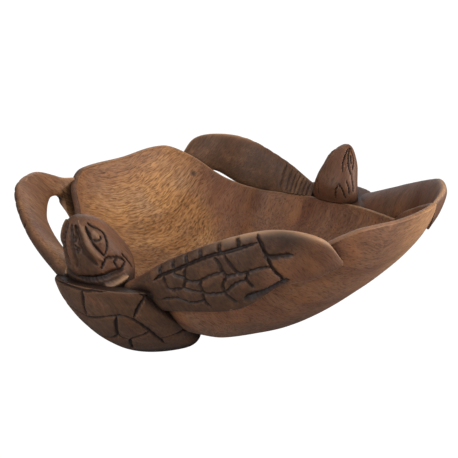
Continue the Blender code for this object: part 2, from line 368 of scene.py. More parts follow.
# Its dark is a painted shadow under the last scales, where the blade stands off the wall.
UNDERCUT_STROKE = ((0.56, -0.72), (0.52, -0.78), (0.48, -0.86), (0.42, -0.86), (0.37, -0.78))
SCALE_PITS = ((0.78, 0), (0.75, -0.48))
EDGE_NOTCHES = (0.81, 0.76, 0.715, 0.67, 0.61, 0.545)
RING_CUTS = (0.8, 0.84, 0.87, 0.895, 0.92, 0.945, 0.97)

# Each cut is its half width and depth in mm, and how dark it is (0 to 1). A depth below 0
# makes a ridge instead, and the last value is how light that is.
SCALE_CUT = (1.15, 1.3, 1)
DEEP_CUT = (1.5, 1.6, 1)
BROAD_CUT = (2.4, 1.3, 0.5)
NECK_CUT = (2.6, 1.6, 0.9)
BROW_RIDGE = (2.2, -1.3, 0.3)
SHOULDER_BAR = (3.4, -1.8, 1)
# Painted shadow: the undercut is dark under the last scales.
UNDERCUT = (4.2, 3, 1)
PIT = (1.6, 1.5, 0.9)
RING_CUT = (0.9, 0.8, 0.7)
FAR_FACE_CUT = (1, 1.1, 0.75)
SPUR_CUT = (2.4, 1.4, 1)
# Painted shadow in the crease between shell and wall.
CREASE_CUT = (4.6, 2.2, 1)

# The surface beside a cut rounds off, over this width and to this depth in mm.
ROUNDING = (3.2, 0.45)

# A cut starts at a share of its width, and TAPER is how fast it grows to its full width.
TAPER_START = 0.35
TAPER = 5

# Unevenness of the edges of a cut in mm, how square its bed is and how far its dark spreads.
WOBBLE = 0.3
BED_POWER = 1.2
DARK_SPREAD = 1.6
STROKE_POINTS = 8


def drawn(surface, stroke):
    """Points on a surface along a smooth stroke."""
    line = along(stroke, np.linspace(0, 1, STROKE_POINTS * len(stroke)))
    return surface(line[:, 0], line[:, 1])


def mirrored(strokes):
    """Strokes together with their copies on the other side."""
    return strokes + tuple(tuple((share, -turn) for share, turn in line) for line in strokes)


def gap_to(points, curve, reach):
    """Distance of each point from a curve, stretched near its ends so that cuts taper off."""
    gaps = np.full(len(points), np.inf)
    near = np.all((points > curve.min(0) - reach) & (points < curve.max(0) + reach), axis=1)
    close = points[near]
    best = np.full(len(close), np.inf)
    parts = len(curve) - 1
    for index in range(parts):
        start = curve[index]
        run = curve[index + 1] - start
        share = np.clip((close - start) @ run / max(run @ run, TINY), 0, 1)
        gap = np.linalg.norm(close - start - share[:, None] * run, axis=1)
        if parts > 1:
            place = (index + share) / parts
            gap /= np.minimum(1, TAPER_START + TAPER * np.minimum(place, 1 - place))
        best = np.minimum(best, gap)
    gaps[near] = best
    return gaps


def knife_wobble(points):
    """Unevenness of the knife at each point, in waves of about 3 mm."""
    x, y, z = points.T
    return WOBBLE * np.sin(1.9 * x + 1.3 * y) * np.sin(1.7 * z + 0.9 * x - 1.1 * y)


def cut_in(points, curves):
    """Depth of the carving at each point, how dark its groove is, and how light its ridge is.

    Each curve comes with its cut.
    """
    depth = np.zeros(len(points))
    raised = np.zeros(len(points))
    dark = np.zeros(len(points))
    light = np.zeros(len(points))
    round_reach, round_depth = ROUNDING
    wobble = knife_wobble(points)
    for curve, (half_width, cut_depth, strength) in curves:
        gaps = np.maximum(gap_to(points, curve, half_width + round_reach) + wobble, 0)
        core = np.clip(1 - gaps / half_width, 0, 1)
        if cut_depth < 0:
            rounded = soft_step(core, 0, 1)
            raised = np.maximum(raised, -cut_depth * rounded)
            light = np.maximum(light, strength * rounded)
        else:
            shoulder = np.clip(1 - gaps / (half_width + round_reach), 0, 1)
            cut = cut_depth * core ** BED_POWER + round_depth * shoulder ** 2
            depth = np.maximum(depth, cut)
            dark = np.maximum(dark, strength * np.clip(DARK_SPREAD * core, 0, 1))
    return depth - raised, dark, light * (1 - dark)


def point_curve(surface, place):
    """A curve that stays at one point of a surface, for a pit or a knot."""
    centre = surface(*np.array(place)[:, None])
    return np.vstack([centre, centre])


# ---------------------------------------------------------------- meshes

def grid_normals(grid):
    """Outward normals of a grid of points whose columns close up on themselves."""
    down = np.gradient(grid, axis=0)
    around = np.roll(grid, -1, axis=1) - np.roll(grid, 1, axis=1)
    normals = np.cross(around, down)
    normals /= np.linalg.norm(normals, axis=-1, keepdims=True) + TINY
    outward = ((grid - grid.mean(axis=1, keepdims=True)) * normals).sum()
    return normals if outward > 0 else -normals


def grid_faces(rows, columns):
    """Quads of a grid closed round its columns, with a fan at each end."""
    row, column = np.meshgrid(np.arange(rows - 1), np.arange(columns), indexing="ij")
    corner = row * columns + column
    beside = row * columns + (column + 1) % columns
    quads = np.stack([corner, beside, beside + columns, corner + columns], -1).reshape(-1, 4)
    first = np.arange(columns)
    following = (first + 1) % columns
    last = (rows - 1) * columns
    first_pole = rows * columns
    fans = [np.stack([following, first, np.full(columns, first_pole)], -1),
            np.stack([first + last, following + last, np.full(columns, first_pole + 1)], -1)]
    return quads.tolist() + fans[0].tolist() + fans[1].tolist()


# Per-point shades (0 to 1) that colour the wood: dark grooves together with painted shadows,
# dark stain together with painted shade, golden heartwood together with painted light on one
# outer wall, and pale wear together with painted highlights on the lip and blade edges.
SHADES = ("groove", "stain", "gold", "wear")


def piece(name, grid, **shades):
    """Closed smooth mesh over a grid with the given shades; the others are 0 all over."""
    rows, columns = grid.shape[:2]
    points = np.vstack([grid.reshape(-1, 3), grid[0].mean(axis=0), grid[-1].mean(axis=0)])
    mesh = bpy.data.meshes.new(name)
    mesh.from_pydata((points * UNIT).tolist(), [], grid_faces(rows, columns))
    for kind in SHADES:
        values = np.broadcast_to(shades.get(kind, 0), (rows, columns))
        ends = [values[0].mean(), values[-1].mean()]
        layer = mesh.attributes.new(kind, "FLOAT", "POINT")
        layer.data.foreach_set("value", np.append(values.ravel(), ends).astype(np.float32))
    builder = bmesh.new()
    builder.from_mesh(mesh)
    bmesh.ops.recalc_face_normals(builder, faces=builder.faces)
    builder.to_mesh(mesh)
    builder.free()
    mesh.shade_smooth()
    made = bpy.data.objects.new(name, mesh)
    bpy.context.scene.collection.objects.link(made)
    return made


FINE_WAVES = 0.6


def tool_waves(points):
    """Slow uneven swell that hand tools leave on a surface, about -1 to 1.

    Its waves are a few centimetres long, each bent by another across it.
    """
    x, y, z = np.moveaxis(points, -1, 0)
    broad = np.sin(x / 9 + 2 * np.sin(z / 17)) * np.sin(y / 11 + 1.5 * np.sin(x / 23))
    fine = np.sin(x / 5 + y / 7 + 2 * np.sin(z / 6))
    return (broad + FINE_WAVES * fine) / (1 + FINE_WAVES)


def carved_grid(grid, curves, waves):
    """Grid with its curves cut in and a swell of a given height; also its dark and light."""
    shape = grid.shape[:2]
    depth, dark, light = cut_in(grid.reshape(-1, 3), curves)
    lift = waves * tool_waves(grid) - depth.reshape(shape)
    return grid + grid_normals(grid) * lift[..., None], dark.reshape(shape), light.reshape(shape)


BASIN_COLUMNS = 480
WALL_ROWS = 66
LIP_ROWS = 9
LIP_RISE = 1.2
BASIN_WAVES = 0.15
CALM_ROWS = 12
KNOT_ANGLE = 60.5
KNOT_TURN = 0.845
KNOT_CUT = (3.6, 1.6, 0.85)
# Its dark is a painted shadow on the wall under each blade's low edge.
BLADE_EDGE_CUT = (3, 0.9, 0.6)
BLADE_EDGE_POINTS = 40

# Angles in degrees at which a shade starts, is full, starts to go and is gone.
GOLD_ANGLES = (50, 64, 98, 124)
GOLD_TAIL = 20
# One outer side wall is paler wood with painted light on it.
PALE_ANGLES = (258, 292, 348, 358)
# Painted shade on the outer wall and lip where the near-left flipper loops over them.
DARK_CORNER_ANGLES = (106, 112, 140, 150)

# Turns of the wall (0 at the foot, 1 at the rim) over which a shade changes.
GOLD_TURNS = (0.7, 1)
PALE_TURNS = (0.15, 0.85)
FOOT_TURNS = (0, 0.7)

# Rows past the start of the lip over which the painted shade of the corner ends, and reach of the
# worn and highlighted lip.
CORNER_ROWS = (5, 9)
LIP_REACH = 4

# How strong each shade is, and how much of the gold is lost toward the rim and the end.
GOLD_LOSS = 0.5
# The lip is lighter as wear and as a painted highlight.
LIP_WEAR = 0.4
# Paler wood with painted light on the outer wall that faces the key light.
PALE_WEAR = 0.45
# Painted shade under the near-left flipper's loop.
CORNER_STAIN = 0.8
# Painted shade: the outer wall darker toward the foot.
FOOT_STAIN = 0.5


def basin_grid():
    """Rows of points up the outer wall, over the rounded lip and down the inner wall."""
    angles = np.linspace(0, 360, BASIN_COLUMNS, endpoint=False)
    rows = []
    for turn in np.linspace(0, 1, WALL_ROWS):
        rows.append(wall_point(angles, np.full(BASIN_COLUMNS, turn), FOOT_RADIUS, 0, 0))
    full_turn = np.ones(BASIN_COLUMNS)
    for roll in np.linspace(0, np.pi, LIP_ROWS)[1:-1]:
        inset = RIM_THICKNESS * (1 - math.cos(roll)) / 2
        floor = FLOOR_HEIGHT * roll / np.pi
        lip = wall_point(angles, full_turn, FOOT_RADIUS, inset, floor)
        lip[:, 2] += LIP_RISE * (math.sin(roll) - 1)
        rows.append(lip)
    rows[WALL_ROWS - 1][:, 2] -= LIP_RISE
    for turn in np.linspace(1, 0, WALL_ROWS):
        rows.append(wall_point(angles, np.full(BASIN_COLUMNS, turn), FLOOR_RADIUS,
                               RIM_THICKNESS, FLOOR_HEIGHT))
    rows[-WALL_ROWS][:, 2] -= LIP_RISE
    return np.array(rows)


def basin_curves():
    """Curves cut into the basin: a knot in its golden wall and a crease under each blade, darkened
    as a painted shadow.
    """
    def inner_wall(angles, turns):
        return wall_point(angles, turns, FLOOR_RADIUS, RIM_THICKNESS, FLOOR_HEIGHT)

    shares = np.linspace(0, 1, BLADE_EDGE_POINTS)
    low_bearing = np.full(BLADE_EDGE_POINTS, np.pi)
    blade_edge = blade_point(RIGHT_TOP_EDGE, RIGHT_LOW_EDGE, RIGHT_SIDE, shares, low_bearing)
    return [(point_curve(inner_wall, (KNOT_ANGLE, KNOT_TURN)), KNOT_CUT),
            (blade_edge, BLADE_EDGE_CUT),
            (half_turned(blade_edge), BLADE_EDGE_CUT)]


def golden_share(angle, turn, inside):
    """How golden the inside is: most on one side wall, less at its rim, and then dying out."""
    start, full, going, gone = GOLD_ANGLES
    golden = inside * soft_step(angle, start, full)
    golden = golden * (1 - GOLD_LOSS * soft_step(angle, going, gone))
    golden *= 1 - soft_step(angle, gone, gone + GOLD_TAIL)
    return golden * (1 - GOLD_LOSS * soft_step(turn, *GOLD_TURNS))


def build_basin():
    """The bowl itself, golden inside its far side wall and worn light along the lip, partly as a
    painted highlight. One outer wall is paler with painted light, and painted shade darkens the
    outer wall toward the foot and at the corner under a flipper loop.
    """
    grid = basin_grid()
    rows = len(grid)
    row = np.arange(rows)[:, None] + np.zeros((1, BASIN_COLUMNS))
    angle = np.linspace(0, 360, BASIN_COLUMNS, endpoint=False)[None] + np.zeros((rows, 1))
    turn = np.concatenate([np.linspace(0, 1, WALL_ROWS), np.ones(LIP_ROWS - 2),
                           np.linspace(1, 0, WALL_ROWS)])[:, None]
    carved, dark, _ = carved_grid(grid, basin_curves(), 0)
    wave_height = BASIN_WAVES * np.minimum(1, np.abs(row - rows / 2) / CALM_ROWS)
    carved += grid_normals(grid) * (wave_height * tool_waves(grid))[..., None]

    inside = soft_step(row, WALL_ROWS, WALL_ROWS + LIP_ROWS)
    # Paler wood and painted light on one outer side wall.
    pale = soft_band(angle, PALE_ANGLES) * (1 - inside) * soft_step(turn, *PALE_TURNS)
    # Painted shade at the corner under the near-left flipper's loop.
    corner = soft_band(angle, DARK_CORNER_ANGLES)
    past_corner = soft_step(row - WALL_ROWS, *CORNER_ROWS)
    # Painted shade, darker toward the foot.
    foot_stain = FOOT_STAIN * (1 - inside) * (1 - soft_step(turn, *FOOT_TURNS))
    # Lighter lip: wear and a painted highlight.
    lip = np.exp(-((row - WALL_ROWS - LIP_ROWS / 2 + 1) / LIP_REACH) ** 2) * (1 - corner)
    return piece("carved_basin", carved, groove=dark,
                 stain=np.maximum(foot_stain, CORNER_STAIN * corner * (1 - past_corner)),
                 gold=golden_share(angle, turn, inside) + pale,
                 wear=np.maximum(LIP_WEAR * lip, PALE_WEAR * pale))


SHELL_ROWS = 104
SHELL_TOP_ROWS = 22
SHELL_COLUMNS = 400
SHELL_WAVES = 0.25
SHELL_STAIN = 0.78
# Painted shade on each shell's top round the base of its head.
NEAR_TOP_SOOT = 0.75
FAR_TOP_SOOT = 0

# The painted shade starts this many rows in from the top edge, and the rows crowd toward that edge.
SOOT_ROWS = 2
TOP_ROW_SPREAD = 1.6
SHELL_EDGE_ROUNDING = 2.4
SHELL_EDGE_ROWS = 7


def build_shell(name, tilt, top_soot, place):
    """One turtle shell with its plates outlined, put in place by the given function.

    Its top is darkened by the given amount, as painted shade round the base of the head.
    """
    bearings = np.linspace(-np.pi, np.pi, SHELL_COLUMNS, endpoint=False)
    shares = np.linspace(0, 1, SHELL_ROWS)
    share, bearing = np.meshgrid(shares, bearings, indexing="ij")
    side = shell_point(tilt, share, bearing)
    rim = side[-1]
    middle = rim.mean(axis=0)
    top_shares = np.linspace(0, 1, SHELL_TOP_ROWS)[1:-1] ** TOP_ROW_SPREAD
    top = [mix(rim, middle, top_share) for top_share in top_shares]
    grid = np.concatenate([side, np.array(top)])
    from_edge = np.abs(np.arange(len(grid)) - SHELL_ROWS + 1)[:, None, None]
    rounded = SHELL_EDGE_ROUNDING * np.clip(1 - from_edge / SHELL_EDGE_ROWS, 0, 1) ** 2
    inward = middle - rim
    inward /= np.linalg.norm(inward, axis=-1, keepdims=True)
    grid = grid + rounded * (inward - (0, 0, 1)) / 2

    def surface(shares, bearings):
        return shell_point(tilt, shares, bearings)

    lines = SHELL_MIDDLE_STROKES + mirrored(SHELL_SIDE_STROKES)
    curves = [(drawn(surface, line), DEEP_CUT) for line in lines]
    curves += [(drawn(surface, line), CREASE_CUT) for line in mirrored((SHELL_CREASE,))]
    carved, dark, _ = carved_grid(grid, curves, SHELL_WAVES)
    # Painted shade on the top, round the base of the head.
    dark[SHELL_ROWS + SOOT_ROWS:] = top_soot
    return piece(name, place(outside_wall(carved, False)), groove=dark, stain=SHELL_STAIN)


HEAD_ROWS = 132
HEAD_COLUMNS = 260
HEAD_WAVES = 0.2
NEAR_FACE = ((EYE_STROKES, SCALE_CUT), (CHEEK_STROKES, SCALE_CUT), (BROW_STROKES, BROAD_CUT),
             (BROW_RIDGES, BROW_RIDGE), ((NECK_STROKE,), NECK_CUT),
             ((SHOULDER_STROKE,), SHOULDER_BAR))
FAR_FACE = ((FAR_EYE_STROKES, FAR_FACE_CUT), (FAR_CHEEK_STROKES, FAR_FACE_CUT),
            (BROW_STROKES, BROAD_CUT))
EYE_CENTRE = (0.66, 1.3)
FAR_EYE_CENTRE = (0.7, 1.88)
EYE_RADIUS = 6
EYE_BULGE = 1.2

# Stain of a head, of the skull beside the middle of its face, and painted shade round the
# neck under the head. The skull is given by its turns from the front and by the shares where
# its stain ends.
HEAD_STAIN = 0.5
SKULL_STAIN = 0.45
SKULL_TURNS = (0.1, 0.25, 0.7, 0.95)
SKULL_END = (0.8, 0.95)
NECK_STAIN = 0.95
NECK_END = (0.3, 0.42)
RIDGE_CLEARING = 0.5


def build_head(name, slimness, lean, face, eye, pits, place):
    """One turtle head, its face given as pairs of strokes and their cut, with bulging eyes.

    A head with pits is also painted dark round its neck, as shade under the head.
    """
    bearings = np.linspace(0, 2 * np.pi, HEAD_COLUMNS, endpoint=False)
    shares = np.linspace(0, 1, HEAD_ROWS)
    share, bearing = np.meshgrid(shares, bearings, indexing="ij")
    grid = head_point(slimness, lean, share, bearing)

    def surface(shares, turns):
        return head_point(slimness, lean, shares, turns - np.pi)

    curves = [(drawn(surface, line), cut) for strokes, cut in face for line in mirrored(strokes)]
    curves += [(point_curve(surface, pit), PIT) for line in mirrored((pits,)) for pit in line]
    carved, dark, light = carved_grid(grid, curves, HEAD_WAVES)
    for side in (1, -1):
        centre = surface(np.array([eye[0]]), np.array([side * eye[1]]))[0]
        away = np.linalg.norm(grid - centre, axis=-1) / EYE_RADIUS
        carved += grid_normals(grid) * (EYE_BULGE * np.exp(-away ** 2))[..., None]
    turned = np.abs(bearing - np.pi)
    skull = soft_band(turned, SKULL_TURNS) * (1 - soft_step(share, *SKULL_END))
    stain = HEAD_STAIN + SKULL_STAIN * skull
    if pits:
        # Painted shade round the neck, under the head.
        stain = np.maximum(stain, NECK_STAIN * (1 - soft_step(share, *NECK_END)))
    return piece(name, place(outside_wall(carved, True)), groove=dark,
                 stain=stain * (1 - RIDGE_CLEARING * light), wear=light)


BLADE_ROWS = 250
BLADE_COLUMNS = 168
BLADE_WAVES = 0.15

# Stain and gold of the inner face of each flipper.
NEAR_RIGHT_INSIDE = (0.3, 0)
NEAR_LEFT_INSIDE = (0.25, 0.4)
FAR_RIGHT_INSIDE = (0.8, 0.25)
FAR_LEFT_INSIDE = (0.5, 0)

# Notches and rings cross a blade between these bearings.
CROSSING_POINTS = 12
NOTCH_BEARINGS = (0.05, 0.78)
RING_BEARINGS = (-0.45, -2)

# The outer face is stained dark where its scales are, which is nearer to the tip at the top
# edge, and less at the tip. Pairs are shares along the blade or places across it over which
# a shade changes.
OUTER_SINES = (-0.2, 0.2)
TIP_STAIN = 0.45
SCALES_LEAN = (-0.2, 1)
SCALES_REACH = 0.2
SCALED_SHARES = (0.4, 0.5)
LOW_PLACES = (-0.3, 0.3)
LOW_TIP_STAIN = 0.9
LOW_TIP_SHARES = (0.05, 0.2)
# Light lines along the top and low edges near the tip are wear with a painted highlight.
EDGE_REACH = 0.35
TOP_WEAR_SHARES = (0.5, 0.7)
LOW_WEAR_SHARES = (0.3, 0.42)
SMUDGE_SHARE = 0.36
SMUDGE_REACH = 0.07
SMUDGE_PLACES = (0.1, 0.6)
SMUDGE_DARKNESS = 0.55


def build_flipper(name, edges, side_sign, inside, place):
    """One flipper blade with scales outside and a notched top edge.

    A right flipper also has rings round its shoulder, and a left one a dark low tip.
    """
    inner_stain, inner_gold = inside
    bearings = np.linspace(-np.pi, np.pi, BLADE_COLUMNS, endpoint=False)
    shares = np.linspace(0, 1, BLADE_ROWS)
    share, bearing = np.meshgrid(shares, bearings, indexing="ij")
    grid = blade_point(*edges, side_sign, share, bearing)

    def outer_face(shares, across):
        return blade_point(*edges, side_sign, shares, np.arccos(np.clip(across, -1, 1)))

    def crossing(share, start, end):
        around = np.linspace(start, end, CROSSING_POINTS)
        return blade_point(*edges, side_sign, np.full(CROSSING_POINTS, share), around)

    curves = [(drawn(outer_face, line), DEEP_CUT) for line in SCALE_BORDERS]
    curves += [(drawn(outer_face, line), SCALE_CUT) for line in SCALE_STROKES]
    curves.append((drawn(outer_face, SPUR_STROKE), SPUR_CUT))
    curves.append((drawn(outer_face, UNDERCUT_STROKE), UNDERCUT))
    curves += [(point_curve(outer_face, pit), PIT) for pit in SCALE_PITS]
    curves += [(crossing(cut, *NOTCH_BEARINGS), DEEP_CUT) for cut in EDGE_NOTCHES]
    if side_sign == RIGHT_SIDE:
        curves += [(crossing(cut, *RING_BEARINGS), RING_CUT) for cut in RING_CUTS]
    carved, dark, _ = carved_grid(grid, curves, BLADE_WAVES)
    across = np.cos(bearing)
    outer = soft_step(np.sin(bearing), *OUTER_SINES)
    toward_tip = SCALES_REACH * np.clip(across, *SCALES_LEAN)
    scaled = outer * soft_step(share + toward_tip, *SCALED_SHARES)
    stain = mix(mix(inner_stain, TIP_STAIN, outer), 1, scaled)
    if side_sign == LEFT_SIDE:
        low_tip = soft_step(-across, *LOW_PLACES) * (1 - soft_step(share, *LOW_TIP_SHARES))
        stain = np.maximum(stain, LOW_TIP_STAIN * low_tip)
    smudge = np.exp(-((share - SMUDGE_SHARE) / SMUDGE_REACH) ** 2)
    smudge *= outer * soft_step(across, *SMUDGE_PLACES)
    dark = np.maximum(dark, SMUDGE_DARKNESS * smudge)
    # Wear and painted highlight along the top and low edges near the tip.
    top_wear = np.exp(-(bearing / EDGE_REACH) ** 2) * (1 - soft_step(share, *TOP_WEAR_SHARES))
    low_wear = np.exp(-((np.pi - np.abs(bearing)) / EDGE_REACH) ** 2)
    low_wear *= 1 - soft_step(share, *LOW_WEAR_SHARES)
    return piece(name, place(outside_wall(carved, True)), groove=dark, stain=stain,
                 gold=inner_gold * (1 - outer), wear=np.maximum(top_wear, low_wear))


# ---------------------------------------------------------------- materials

def feed(tree, socket, source):
    """Link a node output to an input, or set the input to a plain value."""
    if isinstance(source, bpy.types.NodeSocket):
        tree.links.new(source, socket)
    else:
        socket.default_value = source


def shade(tree, kind):
    """Output of one of the per-point shades of a piece."""
    reader = tree.nodes.new("ShaderNodeAttribute")
    reader.attribute_name = kind
    return reader.outputs["Fac"]


def maths(tree, operation, first, second, clamped=True):
    """Output of a maths node, clamped to 0 to 1 unless told otherwise."""
    sums = tree.nodes.new("ShaderNodeMath")
    sums.operation = operation
    sums.use_clamp = clamped
    feed(tree, sums.inputs[0], first)
    feed(tree, sums.inputs[1], second)
    return sums.outputs[0]


def mixed(tree, share, first, second, mode="MIX"):
    """Colour mixed from two others, with the given share of the second.

    Inputs 6 and 7 and output 2 are the ones of the node that hold colours.
    """
    mixer = tree.nodes.new("ShaderNodeMix")
    mixer.data_type = "RGBA"
    mixer.blend_type = mode
    feed(tree, mixer.inputs[0], share)
    feed(tree, mixer.inputs[6], first)
    feed(tree, mixer.inputs[7], second)
    return mixer.outputs[2]


def pattern(tree, space, scale, detail, distortion=0.0):
    """Output of a noise, its scale in cells per metre along the fibre (X), Y and Z."""
    mapping = tree.nodes.new("ShaderNodeMapping")
    feed(tree, mapping.inputs["Vector"], space)
    mapping.inputs["Scale"].default_value = scale
    maker = tree.nodes.new("ShaderNodeTexNoise")
    feed(tree, maker.inputs["Vector"], mapping.outputs[0])
    maker.inputs["Scale"].default_value = 1
    maker.inputs["Detail"].default_value = detail
    maker.inputs["Distortion"].default_value = distortion
    return maker.outputs["Fac"]


def ranged(tree, value, low, high, at_low=0.0, at_high=1.0):
    """Value stretched so that low becomes at_low and high becomes at_high."""
    ramp = tree.nodes.new("ShaderNodeMapRange")
    feed(tree, ramp.inputs["Value"], value)
    ramp.inputs["From Min"].default_value = low
    ramp.inputs["From Max"].default_value = high
    ramp.inputs["To Min"].default_value = at_low
    ramp.inputs["To Max"].default_value = at_high
    return ramp.outputs[0]


# Fibre runs along the parabola Z = FIBRE_BOW * (X + FIBRE_LOW_POINT) ** 2 in metres, and
# wanders off it by up to WANDER.
FIBRE_LOW_POINT = 0.009
FIBRE_BOW = 5.3
WANDER_SCALE = 45
WANDER = 0.007

# Noise cells per metre of each pattern: along the fibre, across it, and upwards.
STREAK_SCALE = (140, 400, 1050)
PORE_SCALE = (260, 900, 1500)
BAND_SCALE = (6, 45, 45)
WARMTH_SCALE = (40, 75, 75)
SPECK_SCALE = (280, 520, 520)
BLOTCH_SCALE = (28, 28, 28)
SMUDGE_SCALE = (150, 150, 150)

GOLD_WOOD = (0.385, 0.188, 0.068, 1)
GOLD_STREAK = (0.145, 0.062, 0.02, 1)
GOLD_GREY = (0.29, 0.165, 0.088, 1)
BROWN_WOOD = (0.17, 0.08, 0.042, 1)
BROWN_STREAK = (0.085, 0.037, 0.019, 1)
RED_WOOD = (0.14, 0.053, 0.026, 1)
ORANGE_WOOD = (0.22, 0.088, 0.034, 1)
STAIN = (0.017, 0.0092, 0.0058, 1)
STAIN_WARM = (0.051, 0.0235, 0.0118, 1)
# Near black of the stain in grooves, also painted as shade and shadow in creases, under parts and
# on the shell top.
SOOT = (0.008, 0.004, 0.003, 1)
BAND_SHADE = (0.66, 0.6, 0.56, 1)
PORE_SHADE = (0.3, 0.22, 0.18, 1)
WORN = (0.34, 0.19, 0.105, 1)

# Values of a pattern between which one colour gives way to the next.
GOLD_STREAKS = (0.3, 0.64)
GOLD_GREYS = (0.45, 0.7)
BROWN_STREAKS = (0.2, 0.62)
RED_BLOTCHES = (0.4, 0.7)
WARM_PATCHES = (0.5, 0.7)
DARK_BANDS = (0.4, 0.65)
OPEN_PORES = (0.46, 0.32)
WARM_STAINS = (0.36, 0.62)
STAIN_GAPS = (-0.1, 0.6)
WORN_RIDGES = (0.52, 0.62)
GRIMY_CREASES = (0.85, 0.4)
DULL_PORES = (0.3, 0.7)

# Greatest share of each colour.
WARM_SHARE = 0.65
PORE_SHARE = 0.6
RIDGE_SHARE = 0.3
WEAR_SHARE = 0.8
GROOVE_SHARE = 0.85
GRIME_SHARE = 0.85

# Reach and samples of the ambient occlusion that finds creases for painted shade.
CREASE_REACH = 0.009
CREASE_SAMPLES = 6
ROUGHNESS = (0.62, 0.48)
SPECULAR = 0.17
RELIEF_STRENGTH = 0.35
RELIEF_DEPTH = 0.0003


def fibre_space(tree):
    """Object coordinates, and the same bent so that X follows the fibre of the wood.

    The fibre sags in a shallow bow along the bowl, and wanders a little by slow noise.
    """
    place = tree.nodes.new("ShaderNodeTexCoord").outputs["Object"]
    parts = tree.nodes.new("ShaderNodeSeparateXYZ")
    tree.links.new(place, parts.inputs[0])
    from_low_point = maths(tree, "ADD", parts.outputs["X"], FIBRE_LOW_POINT, clamped=False)
    squared = maths(tree, "MULTIPLY", from_low_point, from_low_point, clamped=False)
    sag = maths(tree, "MULTIPLY", squared, -FIBRE_BOW, clamped=False)
    bowed = tree.nodes.new("ShaderNodeCombineXYZ")
    feed(tree, bowed.inputs["X"], parts.outputs["X"])
    feed(tree, bowed.inputs["Y"], parts.outputs["Y"])
    feed(tree, bowed.inputs["Z"], maths(tree, "ADD", parts.outputs["Z"], sag, clamped=False))
    bend = tree.nodes.new("ShaderNodeTexNoise")
    tree.links.new(place, bend.inputs["Vector"])
    bend.inputs["Scale"].default_value = WANDER_SCALE
    bend.inputs["Detail"].default_value = 1
    shift = tree.nodes.new("ShaderNodeVectorMath")
    shift.operation = "MULTIPLY_ADD"
    tree.links.new(bend.outputs["Color"], shift.inputs[0])
    shift.inputs[1].default_value = (WANDER, WANDER, WANDER)
    tree.links.new(bowed.outputs[0], shift.inputs[2])
    return place, shift.outputs[0]


def golden_wood(tree, streaks, blotches):
    """Colour of the golden heartwood, with dark streaks and greyer blotches."""
    plain = mixed(tree, ranged(tree, blotches, *GOLD_GREYS), GOLD_WOOD, GOLD_GREY)
    return mixed(tree, ranged(tree, streaks, *GOLD_STREAKS), GOLD_STREAK, plain)


def brown_wood(tree, fibre, streaks, blotches):
    """Colour of the brown wood, with dark streaks, and red and orange patches."""
    brown = mixed(tree, ranged(tree, streaks, *BROWN_STREAKS), BROWN_STREAK, BROWN_WOOD)
    brown = mixed(tree, ranged(tree, blotches, *RED_BLOTCHES), brown, RED_WOOD)
    warmth = pattern(tree, fibre, WARMTH_SCALE, 2)
    warm_share = maths(tree, "MULTIPLY", ranged(tree, warmth, *WARM_PATCHES), WARM_SHARE)
    return mixed(tree, warm_share, brown, ORANGE_WOOD)


def bare_wood(tree, place, fibre, streaks, pores):
    """Colour of the wood before it is stained, darkened in bands and pores."""
    blotches = pattern(tree, place, BLOTCH_SCALE, 3)
    wood = mixed(tree, shade(tree, "gold"), brown_wood(tree, fibre, streaks, blotches),
                 golden_wood(tree, streaks, blotches))
    bands = pattern(tree, fibre, BAND_SCALE, 3, distortion=0.5)
    wood = mixed(tree, ranged(tree, bands, *DARK_BANDS), wood, BAND_SHADE, "MULTIPLY")
    pore_share = maths(tree, "MULTIPLY", ranged(tree, pores, *OPEN_PORES), PORE_SHARE)
    return mixed(tree, pore_share, wood, PORE_SHADE, "MULTIPLY")


def stained(tree, place, fibre, wood):
    """Wood with dark uneven stain over it, which also stands as painted shade, as strong as the
    piece's own shade says.

    Its colour follows the mean of the smudges and specks.
    """
    smudges = pattern(tree, place, SMUDGE_SCALE, 3)
    specks = pattern(tree, fibre, SPECK_SCALE, 3)
    patina = maths(tree, "ADD", maths(tree, "MULTIPLY", specks, 0.5),
                   maths(tree, "MULTIPLY", smudges, 0.5))
    stain = mixed(tree, ranged(tree, patina, *WARM_STAINS), STAIN, STAIN_WARM)
    uneven = maths(tree, "MULTIPLY", shade(tree, "stain"), ranged(tree, smudges, *STAIN_GAPS))
    return mixed(tree, uneven, wood, stain)


def worn_and_grimy(tree, wood):
    """Wood worn pale on its ridges and edges, partly as painted highlights, dark in its grooves and
    painted shadows, and painted dark with shade in its creases.
    """
    geometry = tree.nodes.new("ShaderNodeNewGeometry")
    ridges = ranged(tree, geometry.outputs["Pointiness"], *WORN_RIDGES)
    worn = maths(tree, "MAXIMUM", maths(tree, "MULTIPLY", ridges, RIDGE_SHARE),
                 maths(tree, "MULTIPLY", shade(tree, "wear"), WEAR_SHARE))
    wood = mixed(tree, worn, wood, WORN)
    wood = mixed(tree, maths(tree, "MULTIPLY", shade(tree, "groove"), GROOVE_SHARE), wood, SOOT)
    # Painted shade: creases found by ambient occlusion are darkened toward near black.
    hollow = tree.nodes.new("ShaderNodeAmbientOcclusion")
    hollow.samples = CREASE_SAMPLES
    hollow.inputs["Distance"].default_value = CREASE_REACH
    creases = ranged(tree, hollow.outputs["AO"], *GRIMY_CREASES)
    return mixed(tree, maths(tree, "MULTIPLY", creases, GRIME_SHARE), wood, SOOT)


